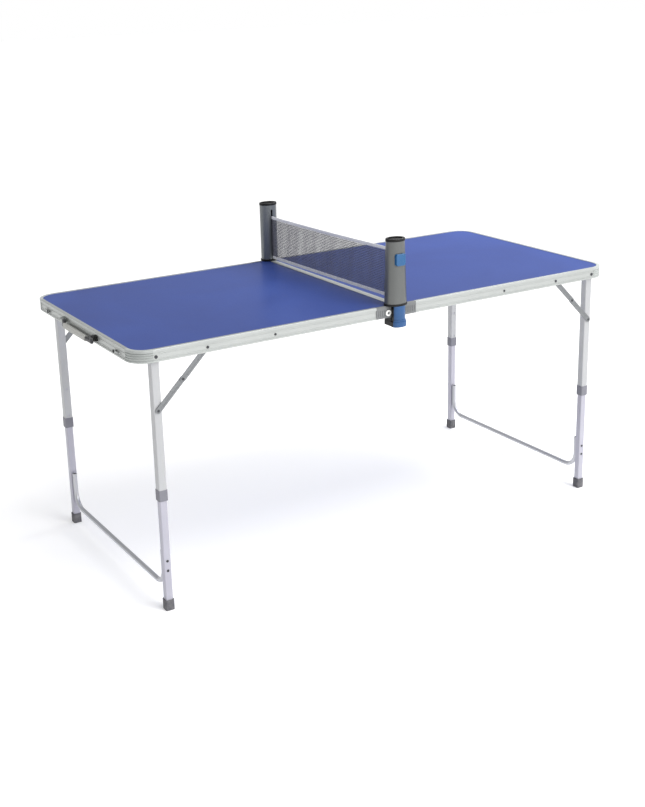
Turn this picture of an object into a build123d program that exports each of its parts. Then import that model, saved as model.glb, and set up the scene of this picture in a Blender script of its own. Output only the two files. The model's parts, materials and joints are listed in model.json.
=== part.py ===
from build123d import *
import os

os.makedirs("parts", exist_ok=True)

# Folding table-tennis table. Millimetres, +Z up, +X along the length from the
# handle end to the far end, +Y from the front edge to the back edge.
# Origin: on the floor, under the middle of the fold line.

# ---- driving dimensions -------------------------------------------------
table_length = 1520.0
table_width = 687.0
table_height = 700.0
rim_height = 32.0
corner_radius = 52.0
half_l = table_length / 2
half_w = table_width / 2
rim_bottom = table_height - rim_height          # 668, also the height of the fold axis
wall_in = 3.8                                   # inner face of a rail, from its outer edge
wall_out = 2.0                                  # recessed outer face of a rail
lip = 9.5                                       # rail lip over the board edge
fold_gap = 0.3                                  # each half stops this far from the fold line

cap_len = 64.0                                  # moulded joint block beside the fold
cap_in = 8.4                                    # its thickness
knuckle_r = 5.0
hinge_pin_r = 1.5

leg_x = half_l - 59.5                           # leg axis
leg_y = half_w - 21.5
pivot_z = 681.0                                 # leg pivots, brace pivots
leg_out = 22.0                                  # upper leg, square tube
leg_low = 19.0                                  # lower leg, square tube
leg_wall = 1.2
collar_size = 24.4
collar_z0, collar_z1 = 303.0, 332.0
upper_leg_z0 = 311.0
lower_leg_z0, lower_leg_z1 = 3.0, 500.0
foot_size, foot_h = 24.0, 29.0
bolt_r = 3.0
pin_gap = 0.05

tube_r, tube_wall = 6.5, 1.2                    # U-shaped cross tube
tube_z, tube_top, tube_bend = 60.0, 160.0, 45.0
tube_y = leg_y - leg_low / 2 - tube_r
leg_rivet_z = (111.0, 138.0)

brace_x = half_l - 198.0                        # brace pivot on the rail
brace_leg_z = 541.7                             # brace pivot on the leg
link_w, link_t = 15.0, 1.8
mid_x, mid_z = (brace_x + leg_x) / 2, (pivot_z + brace_leg_z) / 2
mid_rivet_x = half_l - 389.0

post_y = half_w - 4.5                                  # post axis, from the middle
post_z0, post_z1 = 706.0, 873.0
post_wall = 2.2

net_y = half_w - 24.0
bottom_front, bottom_back = 719.0, 711.5       # middle of the bottom tape at each post
top_front, top_back = 846.0, 835.0             # middle of the top tape at each post

# Rail section: u inward from the outer edge, z up. Top bead, two fine ribs in
# the recessed web, bottom bead; the board sits between the lip and a ledge.
rail_section = [
    (1.0, 700.0), (lip, 700.0), (lip, 699.0), (wall_in, 699.0), (wall_in, 695.0),
    (10.0, 695.0), (10.0, 693.8), (wall_in, 693.8), (wall_in, 668.0), (0.5, 668.0),
    (0.5, 672.0), (wall_out, 672.7), (wall_out, 674.8), (1.3, 675.1), (1.3, 676.0),
    (wall_out, 676.3), (wall_out, 686.4), (1.3, 686.7), (1.3, 687.6), (wall_out, 687.9),
    (wall_out, 692.0), (0.0, 692.7), (0.0, 699.0),
]
# Corner section: the same hollow, with a closely ribbed outside.
corner_section = [
    (1.0, 700.0), (lip, 700.0), (lip, 699.0), (wall_in, 699.0), (wall_in, 695.0),
    (10.0, 695.0), (10.0, 693.8), (wall_in, 693.8), (wall_in, 668.0), (0.8, 668.0),
    (0.4, 668.8), (0.4, 671.4), (2.4, 672.2), (2.4, 674.6), (0.6, 675.4), (0.6, 677.6),
    (2.4, 678.4), (2.4, 680.8), (0.6, 681.6), (0.6, 683.8), (2.4, 684.6), (2.4, 687.0),
    (0.6, 687.8), (0.6, 690.0), (2.4, 690.8), (2.4, 692.4), (0.0, 693.2), (0.0, 699.0),
]
# Centre rail section, plain on the fold side.
center_section = [
    (0.0, 699.4), (0.6, 700.0), (lip, 700.0), (lip, 699.0), (1.8, 699.0), (1.8, 695.0),
    (10.0, 695.0), (10.0, 693.8), (1.8, 693.8), (1.8, 668.0), (0.0, 668.0),
]

front_plane = Plane(origin=(-half_l + corner_radius, -half_w, 0), x_dir=(0, 1, 0), z_dir=(1, 0, 0))
end_plane = Plane(origin=(-half_l, half_w - corner_radius, 0), x_dir=(1, 0, 0), z_dir=(0, -1, 0))
rail_holes = [(-leg_x, pivot_z, bolt_r), (-brace_x, pivot_z, 2.5), (-mid_rivet_x, pivot_z, 2.0)]

# ---- left half: board, rails, corners, joint blocks ------------------------
with BuildPart() as left_panel:
    with BuildSketch(Plane.XY.offset(695.0)):
        with BuildLine():
            xa, xb = -half_l + wall_in, -fold_gap - 1.8
            ya, r = half_w - wall_in, corner_radius - wall_in
            yc, xc = half_w - cap_in, -cap_len
            l1 = Line((xb, yc), (xb, -yc))
            l2 = Line((xb, -yc), (xc, -yc))
            l3 = Line((xc, -yc), (xc, -ya))
            l4 = Line((xc, -ya), (xa + r, -ya))
            a1 = RadiusArc((xa + r, -ya), (xa, -ya + r), r)
            l5 = Line((xa, -ya + r), (xa, ya - r))
            a2 = RadiusArc((xa, ya - r), (xa + r, ya), r)
            l6 = Line((xa + r, ya), (xc, ya))
            l7 = Line((xc, ya), (xc, yc))
            l8 = Line((xc, yc), (xb, yc))
        make_face()
    extrude(amount=4.0)

with BuildPart() as left_front_rail:
    with BuildSketch(front_plane):
        with BuildLine():
            Polyline(*rail_section, close=True)
        make_face()
    extrude(amount=half_l - corner_radius - cap_len)
    for hx, hz, hr in rail_holes:
        with BuildSketch(Plane.XZ.offset(half_w - 10.0)):
            with Locations((hx, hz)):
                Circle(hr)
        extrude(amount=12.0, mode=Mode.SUBTRACT)

with BuildPart() as left_back_rail:
    mirror(left_front_rail.part, about=Plane.XZ)

with BuildPart() as left_end_rail:
    with BuildSketch(end_plane):
        with BuildLine():
            Polyline(*rail_section, close=True)
        make_face()
    extrude(amount=table_width - 2 * corner_radius)

with BuildPart() as left_center_rail:
    with BuildSketch(Plane(origin=(-fold_gap, -(half_w - cap_in), 0), x_dir=(-1, 0, 0), z_dir=(0, 1, 0))):
        with BuildLine():
            Polyline(*center_section, close=True)
        make_face()
    extrude(amount=2 * (half_w - cap_in))

with BuildPart() as left_corners:
    with BuildSketch(front_plane):
        with BuildLine():
            Polyline(*corner_section, close=True)
        make_face()
    revolve(
        axis=Axis((-half_l + corner_radius, -half_w + corner_radius, 0), (0, 0, -1)),
        revolution_arc=90.0,
    )
    mirror(about=Plane.XZ)

# Joint blocks: a ribbed moulding that closes each side rail at the fold. The
# left pair carries the outer knuckles, the right pair the inner knuckles.
knuckle_split = half_w - 4.8
with BuildPart() as left_joint_caps:
    with BuildSketch(Plane.XY.offset(rim_bottom)):
        with BuildLine():
            Polyline((-cap_len, -half_w), (-fold_gap, -half_w), (-fold_gap, -half_w + cap_in),
                     (-cap_len, -half_w + cap_in), close=True)
        make_face()
    extrude(amount=rim_height)
    chamfer(left_joint_caps.edges().filter_by(Axis.X).group_by(Axis.Y)[0].sort_by(Axis.Z)[-1], length=1.0)
    with BuildSketch(Plane.XZ.offset(half_w - 1.0)):
        with GridLocations(6.0, 0.0, 9, 1):
            with Locations((-34.0, 682.0)):
                RectangleRounded(2.6, 18.0, 1.2)
    extrude(amount=2.0, mode=Mode.SUBTRACT)
    with BuildSketch(Plane.XZ.offset(half_w - cap_in - 1.0)):
        with Locations((0.0, rim_bottom)):
            Circle(knuckle_r + 0.4)
    extrude(amount=knuckle_split - (half_w - cap_in) + 1.0, mode=Mode.SUBTRACT)
    with BuildSketch(Plane.XZ.offset(knuckle_split + 0.2)):
        with Locations((0.0, rim_bottom)):
            Circle(knuckle_r)
    extrude(amount=half_w - knuckle_split - 0.2)
    with BuildSketch(Plane.XZ.offset(half_w - cap_in - 1.0)):
        with Locations((0.0, rim_bottom)):
            Circle(hinge_pin_r)
    extrude(amount=12.0, mode=Mode.SUBTRACT)
    mirror(about=Plane.XZ)

with BuildPart() as right_joint_caps:
    with BuildSketch(Plane.XY.offset(rim_bottom)):
        with BuildLine():
            Polyline((cap_len, -half_w), (fold_gap, -half_w), (fold_gap, -half_w + cap_in),
                     (cap_len, -half_w + cap_in), close=True)
        make_face()
    extrude(amount=rim_height)
    chamfer(right_joint_caps.edges().filter_by(Axis.X).group_by(Axis.Y)[0].sort_by(Axis.Z)[-1], length=1.0)
    with BuildSketch(Plane.XZ.offset(half_w - 1.0)):
        with GridLocations(6.0, 0.0, 9, 1):
            with Locations((34.0, 682.0)):
                RectangleRounded(2.6, 18.0, 1.2)
    extrude(amount=2.0, mode=Mode.SUBTRACT)
    with BuildSketch(Plane.XZ.offset(knuckle_split - 0.2)):
        with Locations((0.0, rim_bottom)):
            Circle(knuckle_r + 0.4)
    extrude(amount=half_w - knuckle_split + 1.2, mode=Mode.SUBTRACT)
    with BuildSketch(Plane.XZ.offset(half_w - cap_in)):
        with Locations((0.0, rim_bottom)):
            Circle(knuckle_r)
    extrude(amount=knuckle_split - 0.2 - (half_w - cap_in))
    with BuildSketch(Plane.XZ.offset(half_w - cap_in - 1.0)):
        with Locations((0.0, rim_bottom)):
            Circle(hinge_pin_r + pin_gap)
    extrude(amount=12.0, mode=Mode.SUBTRACT)
    mirror(about=Plane.XZ)

with BuildPart() as hinge_pins:
    with BuildSketch(Plane.XZ.offset(half_w - cap_in)):
        with Locations((0.0, rim_bottom)):
            Circle(hinge_pin_r)
    extrude(amount=cap_in - 0.2)
    mirror(about=Plane.XZ)

# Leg pivot bolts with nuts, brace rivets with a shoulder, board rivets and the
# latch pivots, all on the left half.
latch_y, latch_z = 230.0, 679.0
with BuildPart() as left_rail_rivets:
    with BuildSketch(Plane.XZ.offset(half_w - 2.0)):
        with Locations((-leg_x, pivot_z)):
            Circle(4.2)
        with Locations((-brace_x, pivot_z)):
            Circle(3.6)
        with Locations((-mid_rivet_x, pivot_z)):
            Circle(3.2)
    extrude(amount=1.9)
    fillet(left_rail_rivets.edges().group_by(Axis.Y)[0], radius=1.0)
    with BuildSketch(Plane.XZ.offset(half_w - 37.8)):
        with Locations((-leg_x, pivot_z)):
            Circle(bolt_r)
    extrude(amount=35.8)
    with BuildSketch(Plane.XZ.offset(half_w - 37.4)):
        with Locations((-leg_x, pivot_z)):
            RegularPolygon(6.5, 6)
    extrude(amount=4.6)
    with BuildSketch(Plane.XZ.offset(half_w - 7.0)):
        with Locations((-brace_x, pivot_z)):
            Circle(2.5)
    extrude(amount=5.0)
    with BuildSketch(Plane.XZ.offset(half_w - 5.15)):
        with Locations((-brace_x, pivot_z)):
            Circle(4.5)
    extrude(amount=1.35)
    with BuildSketch(Plane.XZ.offset(half_w - 5.0)):
        with Locations((-mid_rivet_x, pivot_z)):
            Circle(2.0)
    extrude(amount=3.0)
    with BuildSketch(Plane.XZ.offset(half_w - 5.0)):
        with Locations((-mid_rivet_x, pivot_z)):
            Circle(4.0)
    extrude(amount=1.2)
    mirror(about=Plane.XZ)
    with BuildSketch(Plane.YZ.offset(-half_l + wall_out)):
        with Locations((latch_y, latch_z), (-latch_y, latch_z)):
            Circle(2.0)
    extrude(amount=-6.9)
    with BuildSketch(Plane.YZ.offset(-half_l - 3.7)):
        with Locations((latch_y, latch_z), (-latch_y, latch_z)):
            Circle(3.5)
    extrude(amount=-1.2)

# ---- right half: mirrored about the fold line -----------------------------
with BuildPart() as right_panel:
    mirror(left_panel.part, about=Plane.YZ)

with BuildPart() as right_front_rail:
    mirror(left_front_rail.part, about=Plane.YZ)

with BuildPart() as right_back_rail:
    mirror(left_back_rail.part, about=Plane.YZ)

with BuildPart() as right_end_rail:
    mirror(left_end_rail.part, about=Plane.YZ)

with BuildPart() as right_center_rail:
    mirror(left_center_rail.part, about=Plane.YZ)

with BuildPart() as right_corners:
    mirror(left_corners.part, about=Plane.YZ)

with BuildPart() as right_rail_rivets:
    with BuildSketch(Plane.XZ.offset(half_w - 2.0)):
        with Locations((leg_x, pivot_z)):
            Circle(4.2)
        with Locations((brace_x, pivot_z)):
            Circle(3.6)
        with Locations((mid_rivet_x, pivot_z)):
            Circle(3.2)
    extrude(amount=1.9)
    fillet(right_rail_rivets.edges().group_by(Axis.Y)[0], radius=1.0)
    with BuildSketch(Plane.XZ.offset(half_w - 37.8)):
        with Locations((leg_x, pivot_z)):
            Circle(bolt_r)
    extrude(amount=35.8)
    with BuildSketch(Plane.XZ.offset(half_w - 37.4)):
        with Locations((leg_x, pivot_z)):
            RegularPolygon(6.5, 6)
    extrude(amount=4.6)
    with BuildSketch(Plane.XZ.offset(half_w - 7.0)):
        with Locations((brace_x, pivot_z)):
            Circle(2.5)
    extrude(amount=5.0)
    with BuildSketch(Plane.XZ.offset(half_w - 5.15)):
        with Locations((brace_x, pivot_z)):
            Circle(4.5)
    extrude(amount=1.35)
    with BuildSketch(Plane.XZ.offset(half_w - 5.0)):
        with Locations((mid_rivet_x, pivot_z)):
            Circle(2.0)
    extrude(amount=3.0)
    with BuildSketch(Plane.XZ.offset(half_w - 5.0)):
        with Locations((mid_rivet_x, pivot_z)):
            Circle(4.0)
    extrude(amount=1.2)
    mirror(about=Plane.XZ)
    # catch studs for the latch hooks
    with BuildSketch(Plane.YZ.offset(half_l - wall_out)):
        with Locations((latch_y, pivot_z), (-latch_y, pivot_z)):
            Circle(2.4)
    extrude(amount=6.0)
    with BuildSketch(Plane.YZ.offset(half_l + 4.0)):
        with Locations((latch_y, pivot_z), (-latch_y, pivot_z)):
            Circle(3.6)
    extrude(amount=1.5)

# ---- leg frames -----------------------------------------------------------
with BuildPart() as left_upper_legs:
    with BuildSketch(Plane.XY.offset(upper_leg_z0)):
        with Locations((-leg_x, -leg_y), (-leg_x, leg_y)):
            RectangleRounded(leg_out, leg_out, 3.0)
    extrude(amount=pivot_z + leg_out / 2 - upper_leg_z0)
    with BuildSketch(Plane.XY.offset(upper_leg_z0 - 1)):
        with Locations((-leg_x, -leg_y), (-leg_x, leg_y)):
            RectangleRounded(leg_out - 2 * leg_wall, leg_out - 2 * leg_wall, 1.8)
    extrude(amount=pivot_z + leg_out - upper_leg_z0, mode=Mode.SUBTRACT)
    # side outline of a leg: straight with a half-round top about the pivot
    with BuildSketch(Plane.XZ):
        with Locations((-leg_x, (upper_leg_z0 + pivot_z) / 2)):
            Rectangle(leg_out + 0.02, pivot_z - upper_leg_z0)
        with Locations((-leg_x, pivot_z)):
            Circle(leg_out / 2)
    extrude(amount=400.0, both=True, mode=Mode.INTERSECT)
    with BuildSketch(Plane.XZ):
        with Locations((-leg_x, pivot_z)):
            Circle(bolt_r + pin_gap)
    extrude(amount=400.0, both=True, mode=Mode.SUBTRACT)
    # height holes on the inner faces
    with BuildSketch(Plane.XZ):
        with Locations((-leg_x, 420.0), (-leg_x, 340.0)):
            Circle(3.2)
    extrude(amount=leg_y - 8.5, both=True, mode=Mode.SUBTRACT)

with BuildPart() as left_leg_collars:
    with BuildSketch(Plane.XY.offset(collar_z0)):
        with Locations((-leg_x, -leg_y), (-leg_x, leg_y)):
            RectangleRounded(collar_size, collar_size, 3.6)
    extrude(amount=collar_z1 - collar_z0)
    fillet(left_leg_collars.faces().sort_by(Axis.Z)[-2:].edges(), radius=0.8)
    with BuildSketch(Plane.XY.offset(upper_leg_z0)):
        with Locations((-leg_x, -leg_y), (-leg_x, leg_y)):
            RectangleRounded(leg_out, leg_out, 3.0)
    extrude(amount=60.0, mode=Mode.SUBTRACT)
    with BuildSketch(Plane.XY.offset(collar_z0 - 1)):
        with Locations((-leg_x, -leg_y), (-leg_x, leg_y)):
            RectangleRounded(leg_low + 0.6, leg_low + 0.6, 1.8)
    extrude(amount=12.0, mode=Mode.SUBTRACT)

with BuildPart() as left_lower_legs:
    with BuildSketch(Plane.XY.offset(lower_leg_z0)):
        with Locations((-leg_x, -leg_y), (-leg_x, leg_y)):
            RectangleRounded(leg_low, leg_low, 2.5)
    extrude(amount=lower_leg_z1 - lower_leg_z0)
    with BuildSketch(Plane.XY.offset(lower_leg_z0)):
        with Locations((-leg_x, -leg_y), (-leg_x, leg_y)):
            RectangleRounded(leg_low - 2 * leg_wall, leg_low - 2 * leg_wall, 1.3)
    extrude(amount=lower_leg_z1 - lower_leg_z0, mode=Mode.SUBTRACT)
    with BuildSketch(Plane.XZ):
        with Locations((-leg_x, leg_rivet_z[0]), (-leg_x, leg_rivet_z[1])):
            Circle(2.0)
    extrude(amount=400.0, both=True, mode=Mode.SUBTRACT)

cross_plane = Plane(origin=(-leg_x, 0, 0), x_dir=(0, 1, 0), z_dir=(1, 0, 0))
with BuildPart() as left_cross_tube:
    with BuildLine(cross_plane) as cross_path:
        FilletPolyline((-tube_y, tube_top), (-tube_y, tube_z), (tube_y, tube_z), (tube_y, tube_top), radius=tube_bend)
    with BuildSketch(Plane(origin=(-leg_x, -tube_y, tube_top), x_dir=(1, 0, 0), z_dir=(0, 0, -1))):
        Circle(tube_r)
        Circle(tube_r - tube_wall, mode=Mode.SUBTRACT)
    sweep(path=cross_path.line)
    with BuildSketch(Plane.XZ.offset(tube_y)):
        with Locations((-leg_x, leg_rivet_z[0]), (-leg_x, leg_rivet_z[1])):
            Circle(2.0)
    extrude(amount=20.0, mode=Mode.SUBTRACT)
    with BuildSketch(Plane.XZ.offset(-tube_y)):
        with Locations((-leg_x, leg_rivet_z[0]), (-leg_x, leg_rivet_z[1])):
            Circle(2.0)
    extrude(amount=-20.0, mode=Mode.SUBTRACT)

with BuildPart() as left_feet:
    with BuildSketch(Plane.XY):
        with Locations((-leg_x, -leg_y), (-leg_x, leg_y)):
            RectangleRounded(foot_size, foot_size, 4.0)
    extrude(amount=foot_h)
    chamfer(left_feet.faces().sort_by(Axis.Z)[:2].edges(), length=1.0)
    with BuildSketch(Plane.XY.offset(lower_leg_z0)):
        with Locations((-leg_x, -leg_y), (-leg_x, leg_y)):
            RectangleRounded(leg_low, leg_low, 2.5)
    extrude(amount=foot_h, mode=Mode.SUBTRACT)

with BuildPart() as left_leg_rivets:
    with BuildSketch(Plane.XZ.offset(leg_y + leg_low / 2)):
        with Locations((-leg_x, leg_rivet_z[0]), (-leg_x, leg_rivet_z[1])):
            Circle(3.5)
    extrude(amount=1.2)
    fillet(left_leg_rivets.edges().group_by(Axis.Y)[0], radius=0.8)
    with BuildSketch(Plane.XZ.offset(tube_y + 3.0)):
        with Locations((-leg_x, leg_rivet_z[0]), (-leg_x, leg_rivet_z[1])):
            Circle(2.0)
    extrude(amount=leg_y + leg_low / 2 - tube_y - 3.0)
    mirror(about=Plane.XZ)

with BuildPart() as right_upper_legs:
    mirror(left_upper_legs.part, about=Plane.YZ)

with BuildPart() as right_leg_collars:
    mirror(left_leg_collars.part, about=Plane.YZ)

with BuildPart() as right_lower_legs:
    mirror(left_lower_legs.part, about=Plane.YZ)

with BuildPart() as right_cross_tube:
    mirror(left_cross_tube.part, about=Plane.YZ)

with BuildPart() as right_feet:
    mirror(left_feet.part, about=Plane.YZ)

with BuildPart() as right_leg_rivets:
    mirror(left_leg_rivets.part, about=Plane.YZ)

# ---- folding braces: two flat links each ----------------------------------
link_angle = 45.0
link_len = ((brace_x - leg_x) ** 2 + (pivot_z - brace_leg_z) ** 2) ** 0.5 / 2
upper_mid = ((-brace_x - mid_x) / 2, (pivot_z + mid_z) / 2)
lower_mid = ((-mid_x - leg_x) / 2, (mid_z + brace_leg_z) / 2)

with BuildPart() as front_left_upper_link:
    with BuildSketch(Plane.XZ.offset(half_w - 7.0)):
        with Locations(Location((upper_mid[0], upper_mid[1]), link_angle)):
            SlotCenterToCenter(link_len, link_w)
        with Locations((-brace_x, pivot_z), (-mid_x, mid_z)):
            Circle(2.5 + pin_gap, mode=Mode.SUBTRACT)
    extrude(amount=link_t)
    # pressed groove along the outer face
    with BuildSketch(Plane.XZ.offset(half_w - 7.0 + link_t - 0.6)):
        with Locations(Location((upper_mid[0], upper_mid[1]), link_angle)):
            SlotCenterToCenter(link_len - 30.0, 5.0)
    extrude(amount=1.0, mode=Mode.SUBTRACT)
    # stop bump beside the middle pivot
    with BuildSketch(Plane.XZ.offset(half_w - 7.0 + link_t)):
        with Locations((-mid_x + 9.0, mid_z + 7.5)):
            Circle(1.6)
    extrude(amount=0.8)

with BuildPart() as front_left_lower_link:
    with BuildSketch(Plane.XZ.offset(half_w - 9.2)):
        with Locations(Location((lower_mid[0], lower_mid[1]), link_angle)):
            SlotCenterToCenter(link_len, link_w)
    extrude(amount=link_t)
    with BuildSketch(Plane.XZ.offset(half_w - 9.2 + link_t - 0.6)):
        with Locations(Location((lower_mid[0], lower_mid[1]), link_angle)):
            SlotCenterToCenter(link_len - 30.0, 5.0)
    extrude(amount=1.0, mode=Mode.SUBTRACT)
    with BuildSketch(Plane.XZ.offset(half_w - 7.4)):
        with Locations((-mid_x, mid_z)):
            Circle(2.5)
    extrude(amount=3.0)
    with BuildSketch(Plane.XZ.offset(half_w - 5.1)):
        with Locations((-mid_x, mid_z)):
            Circle(4.0)
    extrude(amount=0.8)
    # rivet at the leg end, flush outside, its collar standing just off the leg
    with BuildSketch(Plane.XZ.offset(half_w - 10.2)):
        with Locations((-leg_x, brace_leg_z)):
            Circle(4.0)
    extrude(amount=1.0)

with BuildPart() as back_left_upper_link:
    mirror(front_left_upper_link.part, about=Plane.XZ)

with BuildPart() as back_left_lower_link:
    mirror(front_left_lower_link.part, about=Plane.XZ)

with BuildPart() as front_right_upper_link:
    mirror(front_left_upper_link.part, about=Plane.YZ)

with BuildPart() as front_right_lower_link:
    mirror(front_left_lower_link.part, about=Plane.YZ)

with BuildPart() as back_right_upper_link:
    mirror(back_left_upper_link.part, about=Plane.YZ)

with BuildPart() as back_right_lower_link:
    mirror(back_left_lower_link.part, about=Plane.YZ)

# ---- carrying handle on the left end rail ---------------------------------
handle_x, handle_z = -half_l - 6.0, 684.0       # pivot axis, along Y
grip_x, grip_z = -half_l - 7.4, 672.0
bracket_y0, bracket_y1 = 100.0, 118.0
with BuildPart() as front_handle_bracket:
    with BuildSketch(Plane.XZ.offset(bracket_y0)):
        with BuildLine():
            Polyline((-half_l + wall_out, 678.0), (-half_l + wall_out, 690.0), (-half_l - 7.0, 690.0),
                     (-half_l - 11.0, 686.5), (-half_l - 11.0, 681.0), (-half_l - 8.0, 678.0), close=True)
        make_face()
    extrude(amount=bracket_y1 - bracket_y0)
    # the rail's upper fine rib runs through a groove in the bracket back
    with BuildSketch(Plane.XZ.offset(bracket_y0 - 1)):
        with Locations((-half_l + 1.6, 687.15)):
            Rectangle(1.4, 1.7)
    extrude(amount=bracket_y1 - bracket_y0 + 2, mode=Mode.SUBTRACT)
    with BuildSketch(Plane.XZ.offset(bracket_y0)):
        with Locations((handle_x, handle_z)):
            Circle(2.5 + pin_gap)
    extrude(amount=12.0, mode=Mode.SUBTRACT)

with BuildPart() as back_handle_bracket:
    mirror(front_handle_bracket.part, about=Plane.XZ)

arm_outline = [
    (handle_x - 4.0, handle_z + 2.0), (handle_x - 2.5, handle_z + 4.0), (handle_x + 2.5, handle_z + 4.0),
    (handle_x + 4.0, handle_z + 2.0), (grip_x + 4.0, grip_z + 2.0), (grip_x - 4.0, grip_z + 2.0),
]
with BuildPart() as handle_bar:
    # grip core along Y with an arm and a pivot pin at each end
    with BuildSketch(Plane.XZ.offset(-(bracket_y0 - 0.4))):
        with Locations((grip_x, grip_z)):
            RectangleRounded(8.0, 10.0, 3.0)
    extrude(amount=2 * (bracket_y0 - 0.4))
    with BuildSketch(Plane.XZ.offset(bracket_y0 - 0.4)):
        with BuildLine():
            Polyline(*arm_outline, close=True)
        make_face()
    extrude(amount=-7.0)
    with BuildSketch(Plane.XZ.offset(bracket_y0 - 1.0)):
        with Locations((handle_x, handle_z)):
            Circle(2.5)
    extrude(amount=12.0)
    with BuildSketch(Plane.XZ.offset(-(bracket_y0 - 0.4))):
        with BuildLine():
            Polyline(*arm_outline, close=True)
        make_face()
    extrude(amount=7.0)
    with BuildSketch(Plane.XZ.offset(-(bracket_y0 - 1.0))):
        with Locations((handle_x, handle_z)):
            Circle(2.5)
    extrude(amount=-12.0)

with BuildPart() as handle_grip:
    with BuildSketch(Plane.XZ.offset(-92.0)):
        with Locations((grip_x, grip_z)):
            RectangleRounded(11.6, 15.0, 4.5)
            RectangleRounded(8.0, 10.0, 3.0, mode=Mode.SUBTRACT)
    extrude(amount=152.0)
    # finger waves on the underside
    with BuildSketch(Plane.YZ.offset(grip_x - 12.0)):
        with Locations(*[(y, grip_z - 13.6) for y in (-36.0, -1.0, 34.0, 69.0)]):
            Ellipse(15.0, 7.6)
    extrude(amount=24.0, mode=Mode.SUBTRACT)

with BuildPart() as front_latch_hook:
    with BuildSketch(Plane.YZ.offset(-half_l - 0.6)):
        with BuildLine():
            Polyline((-latch_y + 4.5, latch_z - 3.5), (-latch_y + 4.5, latch_z + 3.5), (-latch_y - 14.0, latch_z + 3.0),
                     (-latch_y - 26.5, latch_z + 3.0), (-latch_y - 26.5, latch_z - 4.0), (-latch_y - 23.9, latch_z - 4.0),
                     (-latch_y - 23.9, latch_z + 0.4), (-latch_y - 18.0, latch_z - 0.8), close=True)
        make_face()
        with Locations((-latch_y, latch_z)):
            Circle(2.0 + pin_gap, mode=Mode.SUBTRACT)
    extrude(amount=-3.0)

with BuildPart() as back_latch_hook:
    mirror(front_latch_hook.part, about=Plane.XZ)

# small white ring beside the fold on each side rail
with BuildPart() as fold_rings:
    with BuildSketch(Plane.XZ.offset(half_w)):
        with Locations((-26.2, 681.0)):
            Circle(8.4)
            Circle(3.8, mode=Mode.SUBTRACT)
    extrude(amount=1.6)
    mirror(about=Plane.XZ)

# ---- net ------------------------------------------------------------------
# The net hangs between the posts and rises a little towards the front post.
with BuildPart() as net_mesh:
    with BuildSketch(Plane.YZ.offset(-0.3)):
        with BuildLine():
            Polyline((-net_y, bottom_front + 4.5), (net_y, bottom_back + 4.5),
                     (net_y, top_back - 4.5), (-net_y, top_front - 4.5), close=True)
        make_face()
    extrude(amount=0.6)

with BuildPart() as net_top_tape:
    with BuildSketch(Plane.YZ.offset(-0.9)):
        with BuildLine():
            Polyline((-net_y, top_front - 4.5), (net_y, top_back - 4.5),
                     (net_y, top_back + 4.5), (-net_y, top_front + 4.5), close=True)
        make_face()
    extrude(amount=1.8)

with BuildPart() as net_bottom_tape:
    with BuildSketch(Plane.YZ.offset(-0.9)):
        with BuildLine():
            Polyline((-net_y, bottom_front - 4.5), (net_y, bottom_back - 4.5),
                     (net_y, bottom_back + 4.5), (-net_y, bottom_front + 4.5), close=True)
        make_face()
    extrude(amount=1.8)

# ---- net posts with their clamps ------------------------------------------
# Front post: oval shell widening downward. Back post: straight oval shell.
with BuildPart() as front_post_shell:
    with BuildSketch(Plane.XY.offset(post_z0)):
        with Locations((0.0, -post_y)):
            Ellipse(32.0, 25.0)
    with BuildSketch(Plane.XY.offset(post_z1)):
        with Locations((0.0, -post_y)):
            Ellipse(27.0, 21.0)
    loft()
    with BuildSketch(Plane.XY.offset(post_z0)):
        with Locations((0.0, -post_y)):
            Ellipse(32.0 - post_wall, 25.0 - post_wall)
    with BuildSketch(Plane.XY.offset(post_z1)):
        with Locations((0.0, -post_y)):
            Ellipse(27.0 - post_wall, 21.0 - post_wall)
    loft(mode=Mode.SUBTRACT)
    with BuildSketch(Plane.XZ.offset(post_y - 47.0)):
        with Locations((0.0, 782.0)):
            Rectangle(6.0, 156.0)
    extrude(amount=46.0, mode=Mode.SUBTRACT)
    with BuildSketch(Plane.XZ.offset(post_y + 6.0)):
        with Locations((0.0, 825.0)):
            RectangleRounded(30.6, 32.6, 6.3)
    extrude(amount=30.0, mode=Mode.SUBTRACT)

with BuildPart() as front_post_cap:
    with BuildSketch(Plane.XY.offset(post_z1)):
        with Locations((0.0, -post_y)):
            Ellipse(28.0, 22.0)
    extrude(amount=7.0)
    fillet(front_post_cap.edges().sort_by(Axis.Z)[-1], radius=2.0)
    with BuildSketch(Plane.XY.offset(post_z1 + 4.0)):
        with Locations((0.0, -post_y)):
            Ellipse(21.0, 15.5)
    extrude(amount=6.0, mode=Mode.SUBTRACT)
    with BuildSketch(Plane.XY.offset(post_z1 - 4.0)):
        with Locations((0.0, -post_y)):
            Ellipse(24.0, 18.0)
            Ellipse(22.0, 16.0, mode=Mode.SUBTRACT)
    extrude(amount=4.0)

edge_y = half_w + 0.5                           # clamp parts outside the rim start here
with BuildPart() as front_clamp_body:
    with BuildSketch(Plane.XY.offset(700.2)):
        with Locations((0.0, -post_y)):
            Ellipse(33.5, 26.5)
    extrude(amount=post_z0 - 700.2)
    fillet(front_clamp_body.edges().sort_by(Axis.Z)[-1], radius=1.0)
    with BuildSketch(Plane.XY.offset(657.0)):
        with Locations((0.0, -edge_y - 6.25)):
            Rectangle(34.0, 12.5)
    extrude(amount=46.0)
    # guide slot for the stem of the lower jaw
    with BuildSketch(Plane.XY.offset(656.0)):
        with Locations((0.0, -edge_y - 6.0)):
            Rectangle(12.6, 6.6)
    extrude(amount=40.0, mode=Mode.SUBTRACT)

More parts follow.
